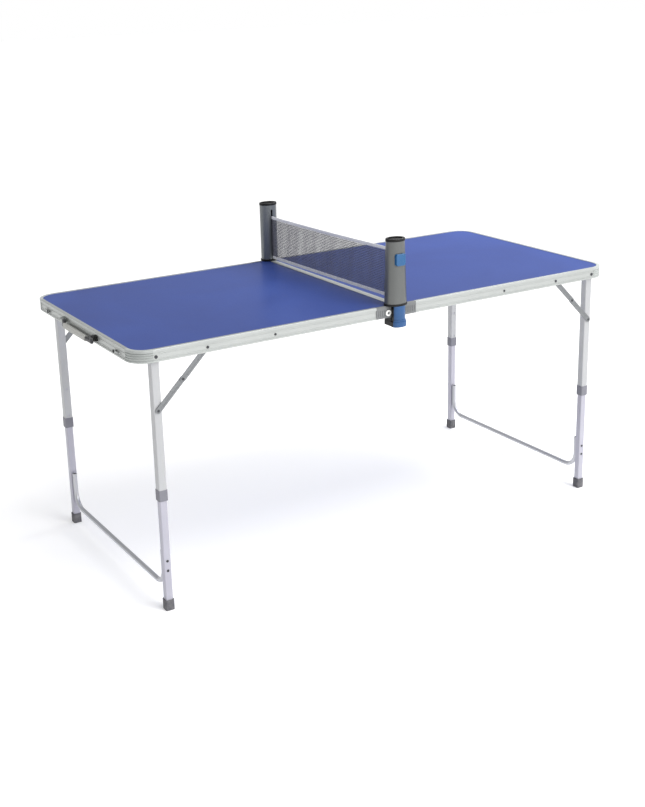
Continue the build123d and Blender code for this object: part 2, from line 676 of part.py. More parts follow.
with BuildPart() as front_clamp_cover:
    # bowed outward in plan, flaring into a foot at the bottom
    with BuildSketch(Plane.XY.offset(657.0)):
        with Locations((0.0, -edge_y - 12.5)):
            Ellipse(18.0, 9.0)
            Rectangle(60.0, 30.0, align=(Align.CENTER, Align.MIN), mode=Mode.SUBTRACT)
    extrude(amount=43.0)
    with BuildSketch(Plane.XY.offset(643.0)):
        with Locations((0.0, -edge_y - 13.2)):
            Ellipse(21.0, 11.6)
            Rectangle(60.0, 30.0, align=(Align.CENTER, Align.MIN), mode=Mode.SUBTRACT)
    extrude(amount=14.0)
    fillet(front_clamp_cover.faces().sort_by(Axis.Z)[0].edges(), radius=1.2)
    with BuildSketch(Plane.XY.offset(654.0)):
        with Locations((0.0, -edge_y - 13.2)):
            Ellipse(19.5, 9.9)
            Rectangle(60.0, 30.0, align=(Align.CENTER, Align.MIN), mode=Mode.SUBTRACT)
    extrude(amount=8.0)

with BuildPart() as front_lower_jaw:
    with BuildSketch(Plane.XY.offset(643.0)):
        with Locations((0.0, -edge_y - 6.5)):
            RectangleRounded(40.0, 13.0, 2.5)
    extrude(amount=13.0)
    with BuildSketch(Plane.XY.offset(643.0)):
        with Locations((-12.5, -edge_y + 12.5)):
            Rectangle(13.0, 35.0)
    extrude(amount=13.0)
    with BuildSketch(Plane.XY.offset(656.0)):
        with Locations((-12.5, -edge_y + 15.4)):
            Rectangle(11.0, 29.2)
    extrude(amount=11.7)
    with BuildSketch(Plane.XY.offset(650.0)):
        with Locations((0.0, -edge_y - 6.0)):
            Rectangle(12.0, 6.0)
    extrude(amount=42.0)

with BuildPart() as front_release_button:
    with BuildSketch(Plane.XZ.offset(post_y + 10.0)):
        with Locations((0.0, 825.0)):
            RectangleRounded(30.0, 32.0, 6.0)
    extrude(amount=17.5)
    fillet(front_release_button.faces().sort_by(Axis.Y)[0].edges(), radius=2.0)

with BuildPart() as back_post_shell:
    with BuildSketch(Plane.XY.offset(post_z0)):
        with Locations((0.0, post_y)):
            Ellipse(27.0, 22.0)
            Ellipse(27.0 - post_wall, 22.0 - post_wall, mode=Mode.SUBTRACT)
    extrude(amount=post_z1 - post_z0)
    with BuildSketch(Plane.XZ.offset(-(post_y - 47.0))):
        with Locations((0.0, 782.0)):
            Rectangle(6.0, 156.0)
    extrude(amount=-46.0, mode=Mode.SUBTRACT)
    with BuildSketch(Plane.XZ.offset(-(post_y + 6.0))):
        with Locations((0.0, 825.0)):
            RectangleRounded(30.6, 32.6, 6.3)
    extrude(amount=-30.0, mode=Mode.SUBTRACT)

with BuildPart() as back_post_cap:
    mirror(front_post_cap.part, about=Plane.XZ)

with BuildPart() as back_clamp_body:
    with BuildSketch(Plane.XY.offset(700.2)):
        with Locations((0.0, post_y)):
            Ellipse(29.0, 24.0)
    extrude(amount=post_z0 - 700.2)
    fillet(back_clamp_body.edges().sort_by(Axis.Z)[-1], radius=1.0)
    with BuildSketch(Plane.XY.offset(657.0)):
        with Locations((0.0, edge_y + 6.25)):
            Rectangle(34.0, 12.5)
    extrude(amount=46.0)
    with BuildSketch(Plane.XY.offset(656.0)):
        with Locations((0.0, edge_y + 6.0)):
            Rectangle(12.6, 6.6)
    extrude(amount=40.0, mode=Mode.SUBTRACT)

with BuildPart() as back_clamp_cover:
    mirror(front_clamp_cover.part, about=Plane.XZ)

with BuildPart() as back_lower_jaw:
    mirror(front_lower_jaw.part, about=Plane.XZ)

with BuildPart() as back_release_button:
    mirror(front_release_button.part, about=Plane.XZ)

# ---- export ---------------------------------------------------------------
nodes = {
    "left_panel": left_panel, "left_front_rail": left_front_rail, "left_back_rail": left_back_rail,
    "left_end_rail": left_end_rail, "left_center_rail": left_center_rail, "left_corners": left_corners,
    "left_joint_caps": left_joint_caps, "left_rail_rivets": left_rail_rivets,
    "right_panel": right_panel, "right_front_rail": right_front_rail, "right_back_rail": right_back_rail,
    "right_end_rail": right_end_rail, "right_center_rail": right_center_rail, "right_corners": right_corners,
    "right_joint_caps": right_joint_caps, "right_rail_rivets": right_rail_rivets, "hinge_pins": hinge_pins,
    "left_upper_legs": left_upper_legs, "left_leg_collars": left_leg_collars, "left_lower_legs": left_lower_legs,
    "left_cross_tube": left_cross_tube, "left_feet": left_feet, "left_leg_rivets": left_leg_rivets,
    "right_upper_legs": right_upper_legs, "right_leg_collars": right_leg_collars,
    "right_lower_legs": right_lower_legs, "right_cross_tube": right_cross_tube, "right_feet": right_feet,
    "right_leg_rivets": right_leg_rivets,
    "front_left_upper_link": front_left_upper_link, "front_left_lower_link": front_left_lower_link,
    "back_left_upper_link": back_left_upper_link, "back_left_lower_link": back_left_lower_link,
    "front_right_upper_link": front_right_upper_link, "front_right_lower_link": front_right_lower_link,
    "back_right_upper_link": back_right_upper_link, "back_right_lower_link": back_right_lower_link,
    "front_handle_bracket": front_handle_bracket, "back_handle_bracket": back_handle_bracket, "handle_bar": handle_bar, "handle_grip": handle_grip,
    "front_latch_hook": front_latch_hook, "back_latch_hook": back_latch_hook, "fold_rings": fold_rings,
    "net_mesh": net_mesh, "net_top_tape": net_top_tape, "net_bottom_tape": net_bottom_tape,
    "front_post_shell": front_post_shell, "front_post_cap": front_post_cap,
    "front_clamp_body": front_clamp_body, "front_clamp_cover": front_clamp_cover,
    "front_lower_jaw": front_lower_jaw, "front_release_button": front_release_button,
    "back_post_shell": back_post_shell, "back_post_cap": back_post_cap, "back_clamp_body": back_clamp_body,
    "back_clamp_cover": back_clamp_cover, "back_lower_jaw": back_lower_jaw,
    "back_release_button": back_release_button,
}
for label, piece in nodes.items():
    piece.part.label = label
    export_step(piece.part, f"parts/{label}.step")
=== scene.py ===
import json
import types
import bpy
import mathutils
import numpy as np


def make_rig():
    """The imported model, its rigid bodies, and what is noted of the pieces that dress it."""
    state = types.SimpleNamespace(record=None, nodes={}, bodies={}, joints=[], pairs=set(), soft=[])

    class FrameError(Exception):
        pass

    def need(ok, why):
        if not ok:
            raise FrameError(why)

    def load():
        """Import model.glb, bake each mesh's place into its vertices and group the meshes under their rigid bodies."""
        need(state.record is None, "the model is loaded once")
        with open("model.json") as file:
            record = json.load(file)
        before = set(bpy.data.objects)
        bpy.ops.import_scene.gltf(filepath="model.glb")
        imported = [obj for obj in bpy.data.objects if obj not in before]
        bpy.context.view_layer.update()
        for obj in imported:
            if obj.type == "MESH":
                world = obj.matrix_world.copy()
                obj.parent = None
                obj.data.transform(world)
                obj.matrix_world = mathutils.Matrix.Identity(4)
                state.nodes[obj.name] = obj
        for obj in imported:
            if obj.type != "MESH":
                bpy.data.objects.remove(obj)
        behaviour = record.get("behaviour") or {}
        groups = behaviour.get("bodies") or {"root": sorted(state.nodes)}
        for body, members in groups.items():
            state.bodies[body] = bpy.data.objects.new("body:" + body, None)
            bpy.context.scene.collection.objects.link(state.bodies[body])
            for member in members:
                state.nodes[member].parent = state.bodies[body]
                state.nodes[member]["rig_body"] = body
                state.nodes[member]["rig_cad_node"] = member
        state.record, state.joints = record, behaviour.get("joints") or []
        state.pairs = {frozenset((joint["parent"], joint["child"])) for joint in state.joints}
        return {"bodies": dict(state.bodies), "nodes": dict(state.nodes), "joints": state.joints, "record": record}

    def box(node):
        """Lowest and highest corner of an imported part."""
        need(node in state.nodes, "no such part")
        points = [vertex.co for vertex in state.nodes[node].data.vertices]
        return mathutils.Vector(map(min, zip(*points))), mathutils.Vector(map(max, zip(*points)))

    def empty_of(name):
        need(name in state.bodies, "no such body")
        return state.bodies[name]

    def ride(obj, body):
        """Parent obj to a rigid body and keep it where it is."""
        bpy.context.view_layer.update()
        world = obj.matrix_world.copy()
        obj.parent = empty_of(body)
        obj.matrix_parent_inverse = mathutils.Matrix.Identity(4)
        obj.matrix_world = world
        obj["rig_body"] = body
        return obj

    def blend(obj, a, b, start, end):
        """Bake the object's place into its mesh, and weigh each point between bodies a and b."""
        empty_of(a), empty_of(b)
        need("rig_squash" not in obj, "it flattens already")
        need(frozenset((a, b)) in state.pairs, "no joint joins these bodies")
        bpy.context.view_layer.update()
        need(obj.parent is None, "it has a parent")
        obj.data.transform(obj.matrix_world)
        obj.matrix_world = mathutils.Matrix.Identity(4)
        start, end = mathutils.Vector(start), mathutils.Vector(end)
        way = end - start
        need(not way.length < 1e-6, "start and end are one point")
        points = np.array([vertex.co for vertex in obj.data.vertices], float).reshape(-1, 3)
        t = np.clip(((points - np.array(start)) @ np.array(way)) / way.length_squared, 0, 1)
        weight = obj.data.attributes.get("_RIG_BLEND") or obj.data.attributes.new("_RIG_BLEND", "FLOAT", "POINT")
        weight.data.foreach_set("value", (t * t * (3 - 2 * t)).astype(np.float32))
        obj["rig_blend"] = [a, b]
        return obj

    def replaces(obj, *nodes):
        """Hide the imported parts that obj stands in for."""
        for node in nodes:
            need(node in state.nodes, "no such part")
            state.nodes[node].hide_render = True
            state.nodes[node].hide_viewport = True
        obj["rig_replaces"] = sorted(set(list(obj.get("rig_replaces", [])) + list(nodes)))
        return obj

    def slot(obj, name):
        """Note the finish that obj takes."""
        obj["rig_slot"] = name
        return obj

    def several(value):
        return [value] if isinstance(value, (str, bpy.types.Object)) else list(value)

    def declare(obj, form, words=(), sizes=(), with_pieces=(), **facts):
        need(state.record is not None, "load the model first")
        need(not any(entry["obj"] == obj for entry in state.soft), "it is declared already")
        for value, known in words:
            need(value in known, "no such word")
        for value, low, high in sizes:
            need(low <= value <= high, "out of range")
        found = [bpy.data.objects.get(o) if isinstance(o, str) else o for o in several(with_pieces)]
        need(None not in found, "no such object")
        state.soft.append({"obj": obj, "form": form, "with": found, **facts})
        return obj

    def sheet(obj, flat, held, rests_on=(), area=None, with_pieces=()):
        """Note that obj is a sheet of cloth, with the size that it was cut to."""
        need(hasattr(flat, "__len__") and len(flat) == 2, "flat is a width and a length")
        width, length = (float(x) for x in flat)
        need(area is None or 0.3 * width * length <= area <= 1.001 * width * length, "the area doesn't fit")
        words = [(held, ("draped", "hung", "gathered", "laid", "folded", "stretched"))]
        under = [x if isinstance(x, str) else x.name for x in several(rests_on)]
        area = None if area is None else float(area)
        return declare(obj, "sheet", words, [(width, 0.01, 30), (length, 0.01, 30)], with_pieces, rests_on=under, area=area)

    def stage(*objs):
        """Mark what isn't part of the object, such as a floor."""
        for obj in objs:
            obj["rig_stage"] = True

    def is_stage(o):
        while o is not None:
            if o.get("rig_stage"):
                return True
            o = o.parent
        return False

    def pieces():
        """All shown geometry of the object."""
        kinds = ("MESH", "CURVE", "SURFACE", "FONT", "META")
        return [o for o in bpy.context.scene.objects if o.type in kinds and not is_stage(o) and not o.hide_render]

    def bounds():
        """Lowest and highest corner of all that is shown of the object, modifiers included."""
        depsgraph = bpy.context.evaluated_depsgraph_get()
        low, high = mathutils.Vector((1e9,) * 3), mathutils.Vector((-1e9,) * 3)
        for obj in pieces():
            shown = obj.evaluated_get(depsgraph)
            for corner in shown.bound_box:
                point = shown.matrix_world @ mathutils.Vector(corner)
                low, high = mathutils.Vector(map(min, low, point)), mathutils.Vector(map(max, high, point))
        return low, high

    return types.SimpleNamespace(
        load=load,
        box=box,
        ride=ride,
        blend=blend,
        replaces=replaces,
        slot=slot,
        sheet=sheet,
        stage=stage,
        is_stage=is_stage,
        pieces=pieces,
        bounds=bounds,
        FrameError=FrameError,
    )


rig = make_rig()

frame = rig.load()
cad_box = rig.bounds()

import bpy, bmesh, json, math
from mathutils import Matrix, Vector

# ---------------------------------------------------------------- materials
def srgb(r, g, b):
    def f(c):
        c /= 255.0
        return c / 12.92 if c <= 0.04045 else ((c + 0.055) / 1.055) ** 2.4
    return (f(r), f(g), f(b), 1.0)


def shade(c, k):
    return (min(c[0] * k, 1.0), min(c[1] * k, 1.0), min(c[2] * k, 1.0), 1.0)


class Mat:
    def __init__(self, name, base, rough=0.5, metal=0.0, spec=0.5, coat=0.0, coat_rough=0.2, sheen=0.0):
        self.m = bpy.data.materials.new(name)
        self.m.use_nodes = True
        self.t = self.m.node_tree
        self.b = self.t.nodes["Principled BSDF"]
        self.base = base
        self.b.inputs["Base Color"].default_value = base
        self.b.inputs["Roughness"].default_value = rough
        self.b.inputs["Metallic"].default_value = metal
        self.b.inputs["Specular IOR Level"].default_value = spec
        self.b.inputs["Coat Weight"].default_value = coat
        self.b.inputs["Coat Roughness"].default_value = coat_rough
        self.b.inputs["Sheen Weight"].default_value = sheen
        self.coord = self.t.nodes.new("ShaderNodeTexCoord")
        self.color = None
        self.height = None

    def noise(self, scale, stretch=(1, 1, 1), detail=4.0, rough=0.55, dist=0.0):
        mp = self.t.nodes.new("ShaderNodeMapping")
        mp.inputs["Scale"].default_value = stretch
        self.t.links.new(self.coord.outputs["Object"], mp.inputs["Vector"])
        n = self.t.nodes.new("ShaderNodeTexNoise")
        n.inputs["Scale"].default_value = scale
        n.inputs["Detail"].default_value = detail
        n.inputs["Roughness"].default_value = rough
        n.inputs["Distortion"].default_value = dist
        self.t.links.new(mp.outputs["Vector"], n.inputs["Vector"])
        return n.outputs["Fac"]

    def wave(self, scale, axis="X", stretch=(1, 1, 1), dist=0.0, profile="SIN"):
        mp = self.t.nodes.new("ShaderNodeMapping")
        mp.inputs["Scale"].default_value = stretch
        self.t.links.new(self.coord.outputs["Object"], mp.inputs["Vector"])
        n = self.t.nodes.new("ShaderNodeTexWave")
        n.bands_direction = axis
        n.wave_profile = profile
        n.inputs["Scale"].default_value = scale
        n.inputs["Distortion"].default_value = dist
        self.t.links.new(mp.outputs["Vector"], n.inputs["Vector"])
        return n.outputs["Fac"]

    def voronoi(self, scale, stretch=(1, 1, 1), feature="F1"):
        mp = self.t.nodes.new("ShaderNodeMapping")
        mp.inputs["Scale"].default_value = stretch
        self.t.links.new(self.coord.outputs["Object"], mp.inputs["Vector"])
        n = self.t.nodes.new("ShaderNodeTexVoronoi")
        n.feature = feature
        n.inputs["Scale"].default_value = scale
        self.t.links.new(mp.outputs["Vector"], n.inputs["Vector"])
        return n.outputs["Distance"]

    def ramp(self, fac, stops):
        r = self.t.nodes.new("ShaderNodeValToRGB")
        self.t.links.new(fac, r.inputs["Fac"])
        e = r.color_ramp.elements
        e[0].position, e[0].color = stops[0]
        e[1].position, e[1].color = stops[-1]
        for p, c in stops[1:-1]:
            x = e.new(p)
            x.color = c
        return r.outputs["Color"]

    def mix(self, a, b, fac, mode="MIX"):
        n = self.t.nodes.new("ShaderNodeMix")
        n.data_type = "RGBA"
        n.blend_type = mode
        if isinstance(fac, float):
            n.inputs[0].default_value = fac
        else:
            self.t.links.new(fac, n.inputs[0])
        for s, v in ((6, a), (7, b)):
            if isinstance(v, tuple):
                n.inputs[s].default_value = v
            else:
                self.t.links.new(v, n.inputs[s])
        return n.outputs[2]

    def set_color(self, sock):
        self.t.links.new(sock, self.b.inputs["Base Color"])
        return self

    def set_rough(self, fac, lo, hi):
        n = self.t.nodes.new("ShaderNodeMapRange")
        n.inputs["To Min"].default_value = lo
        n.inputs["To Max"].default_value = hi
        self.t.links.new(fac, n.inputs["Value"])
        self.t.links.new(n.outputs["Result"], self.b.inputs["Roughness"])
        return self

    def bump(self, fac, strength, distance):
        n = self.t.nodes.new("ShaderNodeBump")
        n.inputs["Strength"].default_value = strength
        n.inputs["Distance"].default_value = distance
        self.t.links.new(fac, n.inputs["Height"])
        if self.height is not None:
            self.t.links.new(self.height, n.inputs["Normal"])
        self.height = n.outputs["Normal"]
        self.t.links.new(self.height, self.b.inputs["Normal"])
        return self

    def math(self, op, a, b):
        n = self.t.nodes.new("ShaderNodeMath")
        n.operation = op
        for i, v in enumerate((a, b)):
            if isinstance(v, float):
                n.inputs[i].default_value = v
            else:
                self.t.links.new(v, n.inputs[i])
        return n.outputs[0]


def plastic(name, base, rough, grain=900.0, depth=0.00006, var=0.10, spec=0.5, coat=0.0):
    m = Mat(name, base, rough, 0.0, spec, coat)
    big = m.noise(14.0, detail=3.0)
    fine = m.noise(grain, detail=2.0)
    m.set_color(m.ramp(big, [(0.3, shade(base, 1.0 - var)), (0.7, shade(base, 1.0 + var))]))
    m.set_rough(fine, max(rough - 0.08, 0.05), rough + 0.10)
    m.bump(fine, 0.35, depth)
    return m.m


def extruded(name, base, along, rough=0.34, metal=0.75):
    # drawn metal: long fine die lines, faint scuffs across
    m = Mat(name, base, rough, metal, 0.5)
    st = {"x": (0.6, 55, 55), "y": (55, 0.6, 55), "z": (55, 55, 0.6)}[along]
    lines = m.noise(22.0, stretch=st, detail=5.0, rough=0.7)
    blot = m.noise(9.0, detail=4.0)
    scuff = m.noise(60.0, stretch=(3, 3, 3), detail=6.0, rough=0.75, dist=1.5)
    c1 = m.ramp(lines, [(0.25, shade(base, 0.86)), (0.75, shade(base, 1.06))])
    c2 = m.ramp(blot, [(0.35, shade(base, 0.93)), (0.65, shade(base, 1.04))])
    m.set_color(m.mix(c1, c2, 0.45))
    m.set_rough(m.math("MULTIPLY", lines, scuff), rough - 0.06, rough + 0.42)
    m.bump(lines, 0.25, 0.00008)
    m.bump(scuff, 0.08, 0.00005)
    return m.m


blue = srgb(52, 72, 136)
top = Mat("laminate_blue", blue, 0.34, 0.0, 0.12, 0.0, 0.12)
peel = top.noise(420.0, detail=2.0)
cloud = top.noise(2.6, detail=5.0, rough=0.6, dist=0.6)
scratch = top.noise(34.0, stretch=(1.0, 14.0, 1.0), detail=7.0, rough=0.8, dist=0.8)
c = top.ramp(cloud, [(0.30, srgb(47, 66, 129)), (0.52, srgb(52, 72, 137)), (0.75, srgb(57, 78, 145))])
s = top.ramp(scratch, [(0.0, (0, 0, 0, 1)), (0.66, (0, 0, 0, 1)), (0.74, (1, 1, 1, 1))])
top.set_color(top.mix(c, srgb(74, 94, 158), top.math("MULTIPLY", s, 0.22)))
top.set_rough(top.math("MULTIPLY", cloud, peel), 0.28, 0.52)
top.bump(peel, 0.22, 0.00010)
top.bump(scratch, 0.05, 0.00006)
MAT_TOP = top.m

alu = srgb(180, 183, 181)
MAT_RIM_X = extruded("rim_metal_x", alu, "x", 0.36, 0.55)
MAT_RIM_Y = extruded("rim_metal_y", alu, "y", 0.36, 0.55)
MAT_LEG = extruded("leg_metal", srgb(180, 181, 183), "z", 0.38, 0.40)
MAT_LOW = extruded("lower_leg_metal", srgb(178, 177, 188), "z", 0.34, 0.40)
MAT_TUBE = extruded("tube_metal", srgb(192, 193, 197), "y", 0.30, 0.75)
MAT_CORNER = plastic("corner_plastic", srgb(168, 172, 170), 0.50, 700.0)
MAT_BLOCK = plastic("block_plastic", srgb(112, 114, 115), 0.55, 650.0)
MAT_COLLAR = plastic("collar_plastic", srgb(122, 122, 130), 0.55, 800.0)
MAT_BLACK = plastic("black_plastic", srgb(13, 13, 14), 0.42, 700.0, var=0.2, spec=0.3)
MAT_HANDLE = plastic("handle_plastic", srgb(64, 64, 68), 0.45, 700.0, var=0.15)
MAT_CLAMP_BLUE = plastic("blue_plastic", srgb(8, 70, 122), 0.30, 800.0, coat=0.2)
MAT_BUTTON = plastic("button_plastic", srgb(14, 84, 134), 0.28, 900.0, coat=0.25)
MAT_GRIP = plastic("grip_plastic", srgb(176, 176, 172), 0.62, 420.0, depth=0.00015)
MAT_RING = plastic("ring_plastic", srgb(235, 235, 232), 0.35, 800.0, var=0.04)

rub = Mat("foot_rubber", srgb(92, 92, 97), 0.78, 0.0, 0.3)
dust = rub.noise(60.0, detail=6.0, rough=0.7)
pores = rub.voronoi(900.0)
rub.set_color(rub.ramp(dust, [(0.35, srgb(82, 82, 87)), (0.7, srgb(118, 117, 119))]))
rub.set_rough(dust, 0.68, 0.92)
rub.bump(pores, 0.35, 0.0002)
MAT_RUBBER = rub.m


def post_paint(name, base, flake):
    m = Mat(name, base, 0.30, 0.60, 0.5, 0.25, 0.15)
    fl = m.voronoi(1500.0)
    soft = m.noise(10.0, stretch=(1, 1, 0.25), detail=3.0)
    c = m.ramp(soft, [(0.3, shade(base, 0.90)), (0.7, shade(base, 1.08))])
    m.set_color(m.mix(c, flake, m.ramp(fl, [(0.0, (0.35, 0.35, 0.35, 1)), (0.35, (0, 0, 0, 1))])))
    m.set_rough(m.noise(70.0, detail=5.0), 0.22, 0.44)
    m.bump(m.noise(500.0, detail=2.0), 0.12, 0.00005)
    return m.m


MAT_POST_F = post_paint("post_paint_grey", srgb(100, 102, 101), srgb(160, 162, 160))
MAT_POST_B = post_paint("post_paint_silver", srgb(108, 112, 114), srgb(170, 172, 174))


def zinc(name, base, rough=0.32):
    m = Mat(name, base, rough, 0.9, 0.5)
    sp = m.voronoi(260.0)
    sc = m.noise(160.0, detail=6.0, rough=0.7)
    m.set_color(m.ramp(sp, [(0.0, shade(base, 0.84)), (0.6, shade(base, 1.08))]))
    m.set_rough(sc, rough - 0.08, rough + 0.22)
    m.bump(sc, 0.12, 0.00006)
    return m.m


MAT_ZINC = zinc("zinc_fastener", srgb(150, 151, 153))
MAT_RIVET = zinc("dark_rivet", srgb(74, 75, 78), 0.40)
MAT_LINK = zinc("zinc_strip", srgb(132, 134, 136), 0.40)
MAT_HOOK = zinc("hook_steel", srgb(168, 171, 170), 0.36)

MAT_TAPE = Mat("tape_weave", srgb(246, 247, 248), 0.85, 0.0, 0.3, sheen=0.5)
w1 = MAT_TAPE.wave(420.0, "Y")
w2 = MAT_TAPE.wave(420.0, "Z")
wv = MAT_TAPE.math("MULTIPLY", w1, w2)
MAT_TAPE.set_color(MAT_TAPE.ramp(wv, [(0.0, srgb(232, 233, 236)), (0.7, srgb(252, 252, 253))]))
MAT_TAPE.bump(wv, 0.6, 0.0003)
MAT_TAPE = MAT_TAPE.m

n = Mat("net_yarn", srgb(66, 66, 76), 0.85, 0.0, 0.2, sheen=0.1)
tw = n.wave(700.0, "DIAGONAL")
n.set_color(n.mix(n.ramp(tw, [(0.0, srgb(54, 54, 63)), (1.0, srgb(86, 86, 97))]), srgb(104, 104, 116), n.math("MULTIPLY", n.noise(25.0, detail=4.0), 0.5)))
n.bump(tw, 0.6, 0.0002)
MAT_NET = n.m

PAINT = {
    "left_panel": MAT_TOP, "right_panel": MAT_TOP,
    "front_rail": MAT_RIM_X, "back_rail": MAT_RIM_X, "end_rail": MAT_RIM_Y, "center_rail": MAT_RIM_Y,
    "corners": MAT_CORNER, "joint_caps": MAT_BLOCK, "rail_rivets": MAT_RIVET, "leg_rivets": MAT_RIVET, "hinge_pins": MAT_ZINC,
    "upper_legs": MAT_LEG, "lower_legs": MAT_LOW, "leg_collars": MAT_COLLAR, "cross_tube": MAT_TUBE,
    "feet": MAT_RUBBER, "link": MAT_LINK, "front_handle_bracket": MAT_BLACK, "back_handle_bracket": MAT_HOOK, "handle_bar": MAT_HANDLE,
    "handle_grip": MAT_GRIP, "latch_hook": MAT_HOOK, "fold_rings": MAT_RING,
    "front_post_shell": MAT_POST_F, "back_post_shell": MAT_POST_B, "post_cap": MAT_BLACK,
    "clamp_body": MAT_BLACK, "clamp_cover": MAT_CLAMP_BLUE, "lower_jaw": MAT_BLACK,
    "release_button": MAT_BUTTON,
}
NODES = frame["nodes"]
for name, ob in NODES.items():
    for key, m in PAINT.items():
        if name.endswith(key):
            if not ob.material_slots:
                ob.data.materials.append(m)
            for sl in ob.material_slots:
                sl.link = "OBJECT"
                sl.material = m
            break


def put(ob, mat, body, slot):
    ob.data.materials.clear()
    ob.data.materials.append(mat)
    if body:
        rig.ride(ob, body)
    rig.slot(ob, slot)
    return ob


def mesh(name, verts, faces, smooth=True):
    me = bpy.data.meshes.new(name)
    me.from_pydata(verts, [], faces)
    me.update()
    for p in me.polygons:
        p.use_smooth = smooth
    ob = bpy.data.objects.new(name, me)
    bpy.context.scene.collection.objects.link(ob)
    return ob


# ---------------------------------------------------------------- net
lo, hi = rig.box("net_mesh")
NY = hi[1]
tlo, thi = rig.box("net_top_tape")
blo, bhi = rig.box("net_bottom_tape")
BOT = (blo[2] + bhi[2]) / 2
TAPE = 0.009
top_front, top_back = thi[2] - TAPE / 2, tlo[2] + TAPE / 2
bot_front, bot_back = bhi[2] - TAPE / 2, blo[2] + TAPE / 2


def lerp(a, b, t):
    return a + (b - a) * t


def along(y):
    return (y + NY) / (2 * NY)


def edge_z(y, which):
    t = along(y)
    sag = 4 * t * (1 - t)
    if which == "top":
        return lerp(top_front, top_back, t) - 0.0022 * sag
    return lerp(bot_front, bot_back, t) - 0.0006 * sag


def ripple(y, v):
    # soft gathers, none at the tapes' ends
    t = along(y)
    hold = min(1.0, 8 * t, 8 * (1 - t))
    g = math.sin(y * 61.0 + 1.3 * v) * 0.9 + math.sin(y * 127.0 + 2.1 + 2.2 * v) * 0.5 + math.sin(y * 23.0 + 0.7) * 0.8
    return 0.00045 * g * hold * (0.35 + 0.65 * math.sin(math.pi * min(max(v, 0.0), 1.0)))


def net_half(name, y0, y1):
    cell = 0.0046
    nu = round(abs(y1 - y0) / cell)
    nv = 25
    vs, fs = [], []
    for i in range(nu + 1):
        y = lerp(y0, y1, i / nu)
        zb, zt = edge_z(y, "bottom") + 0.0035, edge_z(y, "top") - 0.0035
        for j in range(nv + 1):
            v = j / nv
            vs.append((ripple(y, v), y, lerp(zb, zt, v)))
    for i in range(nu):
        for j in range(nv):
            a = i * (nv + 1) + j
            fs.append((a, a + nv + 1, a + nv + 2, a + 1))
    ob = mesh(name, vs, fs)
    w = ob.modifiers.new("strands", "WIREFRAME")
    w.thickness = 0.0019
    w.use_replace = True
    w.use_even_offset = False
    w.use_boundary = True
    return ob


def tape_half(name, which, y0, y1):
    n_ = 64
    v_mid = 1.0 if which == "top" else 0.0
    sec = []
    hw, hh, r = 0.0009, TAPE / 2, 0.0007
    for k in range(16):
        a = 2 * math.pi * (k + 0.5) / 16
        cx = math.copysign(hw - r, math.cos(a))
        cz = math.copysign(hh - r, math.sin(a))
        sec.append((cx + r * math.cos(a), cz + r * math.sin(a)))
    vs, fs = [], []
    for i in range(n_ + 1):
        y = lerp(y0, y1, i / n_)
        dx = ripple(y, v_mid)
        z = edge_z(y, which)
        for sx, sz in sec:
            vs.append((sx + dx, y, z + sz))
    m_ = len(sec)
    for i in range(n_):
        for k in range(m_):
            a, b = i * m_ + k, i * m_ + (k + 1) % m_
            fs.append((a, b, b + m_, a + m_))
    fs.append(tuple(range(m_))[::-1])
    fs.append(tuple(n_ * m_ + k for k in range(m_)))
    return mesh(name, vs, fs)


def stitches(name, which, y0, y1, dz):
    vs, fs = [], []
    v_mid = 1.0 if which == "top" else 0.0
    pitch, ln, hw = 0.0042, 0.0027, 0.00025
    nst = int(abs(y1 - y0) / pitch) - 1
    sgn = 1 if y1 > y0 else -1
    for i in range(nst):
        ya = y0 + sgn * (i + 0.7) * pitch
        for side in (-1, 1):
            base = len(vs)
            for q, t in enumerate((0.0, 0.5, 1.0)):
                y = ya + sgn * ln * t
                x = ripple(y, v_mid) + side * (0.0009 + (0.00028 if q == 1 else -0.00005))
                z = edge_z(y, which) + dz
                vs += [(x, y, z - hw), (x + side * 0.00012, y, z), (x, y, z + hw)]
            for q in range(2):
                a = base + 3 * q
                fs += [(a, a + 1, a + 4, a + 3), (a + 1, a + 2, a + 5, a + 4)]
    return mesh(name, vs, fs)


parts_net = []
for end, body in (("front", "front_post"), ("back", "back_post")):
    s_ = -1 if end == "front" else 1
    y0, y1 = 0.0, s_ * NY
    nm = put(net_half(f"net_mesh_{end}", y0, y1), MAT_NET, None, "net_grey")
    tt = put(tape_half(f"net_top_tape_{end}", "top", y0, y1), MAT_TAPE, None, "tape_white")
    bt = put(tape_half(f"net_bottom_tape_{end}", "bottom", y0, y1), MAT_TAPE, None, "tape_white")
    st = []
    for which, dzs in (("top", (0.0030, -0.0030)), ("bottom", (0.0030, -0.0030))):
        for q, dz in enumerate(dzs):
            st.append(put(stitches(f"net_stitch_{which}_{end}_{q}", which, y0, y1, dz), MAT_TAPE, None, "tape_white"))
    for ob in [nm, tt, bt] + st:
        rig.blend(ob, "left_half", body, start=(0, s_ * 0.02, 0.78), end=(0, s_ * 0.30, 0.78))
    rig.sheet(nm, flat=(NY, 0.117), held="stretched", rests_on=[f"{end}_post_shell", tt.name], with_pieces=[tt, bt] + st)
    parts_net.append((nm, tt, bt))
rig.replaces(parts_net[0][0], "net_mesh")
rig.replaces(parts_net[0][1], "net_top_tape")
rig.replaces(parts_net[0][2], "net_bottom_tape")

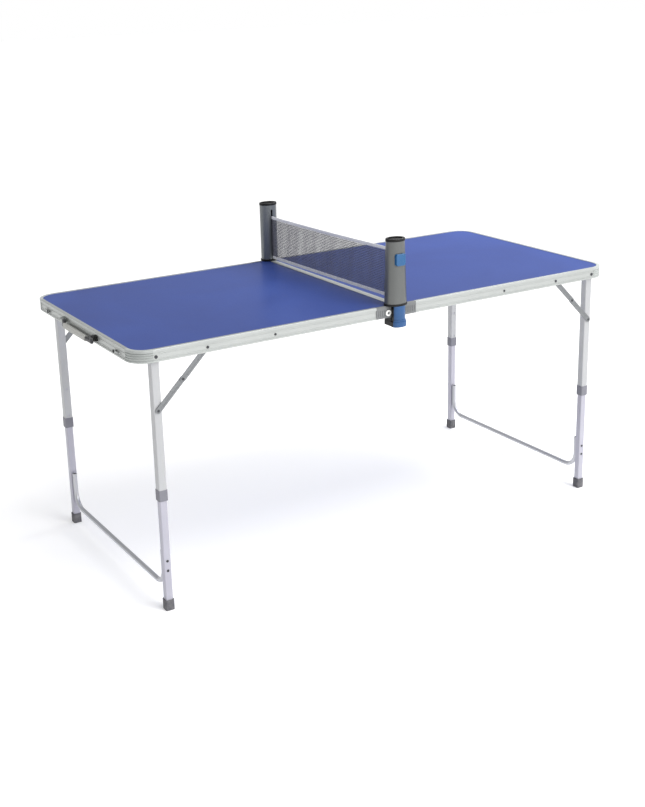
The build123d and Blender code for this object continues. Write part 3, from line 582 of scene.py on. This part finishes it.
# ---------------------------------------------------------------- small fasteners
def dome(name, center, axis, radius, height, mat, body, slot):
    # low dome standing on center, pointing along axis (a unit vector)
    a = Vector(axis)
    q = a.to_track_quat("Z", "Y")
    rings, seg = 5, 24
    vs, fs = [], []
    for i in range(rings):
        t = i / rings * math.pi / 2
        for k in range(seg):
            p = 2 * math.pi * k / seg
            v = Vector((radius * math.cos(t) * math.cos(p), radius * math.cos(t) * math.sin(p), height * math.sin(t)))
            vs.append(tuple(Vector(center) + q @ v))
    vs.append(tuple(Vector(center) + a * height))
    for i in range(rings - 1):
        for k in range(seg):
            b0, b1 = i * seg + k, i * seg + (k + 1) % seg
            fs.append((b0, b1, b1 + seg, b0 + seg))
    for k in range(seg):
        fs.append(((rings - 1) * seg + k, (rings - 1) * seg + (k + 1) % seg, rings * seg))
    fs.append(tuple(range(seg))[::-1])
    return put(mesh(name, vs, fs), mat, body, slot)


HW = 0.3435


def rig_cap(ny):
    l_, h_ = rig.box(f"{ny}_latch_hook")
    return (l_[0], (-0.23 if ny == "front" else 0.23), 0.679)


for ny, sy in (("front", -1), ("back", 1)):
    for nx, sx in (("left", -1), ("right", 1)):
        body = NODES[f"{ny}_{nx}_lower_link"]["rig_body"]
        dome(f"{ny}_{nx}_mid_rivet_cap", (sx * (0.7005 + 0.562) / 2, sy * (HW - 0.0043), (0.681 + 0.5417) / 2),
             (0, sy, 0), 0.0036, 0.0003, MAT_RIVET, body, "fastener_steel")
        dome(f"{ny}_{nx}_leg_rivet_cap", (sx * 0.7005, sy * (HW - 0.00745), 0.5417),
             (0, sy, 0), 0.0038, 0.0003, MAT_RIVET, body, "fastener_steel")
    dome(f"{ny}_latch_pivot_cap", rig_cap(ny), (-1, 0, 0), 0.0046, 0.0016, MAT_BLACK, NODES[f"{ny}_latch_hook"]["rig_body"], "latch_black")

# ---------------------------------------------------------------- stage
fm = Mat("floor_paper", srgb(238, 238, 238), 0.9, 0.0, 0.2)
fm.bump(fm.noise(3.0, detail=3.0), 0.05, 0.002)
fm.b.inputs["Emission Color"].default_value = (1.0, 1.0, 1.0, 1.0)
fm.b.inputs["Emission Strength"].default_value = 0.22
floor = mesh("studio_floor", [(-30, -30, 0), (30, -30, 0), (30, 30, 0), (-30, 30, 0)], [(0, 1, 2, 3)], smooth=False)
floor.data.materials.append(fm.m)
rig.stage(floor)

sc = bpy.context.scene
world = bpy.data.worlds.new("studio")
sc.world = world
world.use_nodes = True
bg = world.node_tree.nodes["Background"]
bg.inputs["Strength"].default_value = 1.0
wt = world.node_tree
wc = wt.nodes.new("ShaderNodeTexCoord")
wx = wt.nodes.new("ShaderNodeSeparateXYZ")
wr = wt.nodes.new("ShaderNodeValToRGB")
wt.links.new(wc.outputs["Generated"], wx.inputs["Vector"])
wt.links.new(wx.outputs["Z"], wr.inputs["Fac"])
wt.links.new(wr.outputs["Color"], bg.inputs["Color"])
el_ = wr.color_ramp.elements
el_[0].position, el_[0].color = 0.03, (1.0, 1.0, 1.0, 1.0)
el_[1].position, el_[1].color = 1.0, (0.85, 0.85, 0.85, 1.0)
for p_, g_ in ((0.10, 0.44), (0.50, 0.44)):
    e_ = el_.new(p_)
    e_.color = (g_, g_, g_, 1.0)


def area(name, loc, target, size, power, color=(1, 1, 1)):
    l = bpy.data.lights.new(name, "AREA")
    l.shape = "RECTANGLE"
    l.size, l.size_y = size
    l.energy = power
    l.color = color
    o = bpy.data.objects.new(name, l)
    sc.collection.objects.link(o)
    o.location = loc
    o.rotation_euler = (Vector(target) - Vector(loc)).to_track_quat("-Z", "Y").to_euler()
    return o


area("front_soft", (1.2, -4.0, 3.0), (0, 0, 0.5), (2.5, 2.5), 105)
area("over_right", (1.15, 0.35, 1.95), (1.15, 0.35, 0.0), (0.9, 0.9), 21)
sun = bpy.data.lights.new("sun_soft", "SUN")
sun.energy = 1.7
sun.angle = math.radians(50)
so = bpy.data.objects.new("sun_soft", sun)
sc.collection.objects.link(so)
so.rotation_euler = Vector((-0.35, 0.75, -1.0)).to_track_quat("-Z", "Y").to_euler()

# ---------------------------------------------------------------- camera
f_px, az, el, roll = 1247.4938, math.radians(30.72701), math.radians(17.27023), math.radians(-1.53703)
C = Vector((-1.85137943, -2.97833498, 1.55112932))
d = Vector((math.sin(az) * math.cos(el), math.cos(az) * math.cos(el), -math.sin(el)))
r = Vector((math.cos(az), -math.sin(az), 0.0))
u = r.cross(d)
r2 = r * math.cos(roll) + u * math.sin(roll)
u2 = -r * math.sin(roll) + u * math.cos(roll)
cam = bpy.data.cameras.new("camera")
cam.sensor_fit = "VERTICAL"
cam.sensor_height = 36.0
cam.lens = f_px * 36.0 / 807.0
cam.shift_x = 16.7414 / 807.0
cam.shift_y = -43.6520 / 807.0
cam.clip_start, cam.clip_end = 0.05, 200.0
co = bpy.data.objects.new("camera", cam)
sc.collection.objects.link(co)
M = Matrix((
    (r2.x, u2.x, -d.x, C.x),
    (r2.y, u2.y, -d.y, C.y),
    (r2.z, u2.z, -d.z, C.z),
    (0, 0, 0, 1),
))
co.matrix_world = M
sc.camera = co
sc.view_settings.view_transform = "Standard"
sc.view_settings.look = "None"

json.dump(
    {"cad": [list(map(float, v)) for v in cad_box], "visual": [list(map(float, v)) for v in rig.bounds()]},
    open("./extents.json", "w"),
)
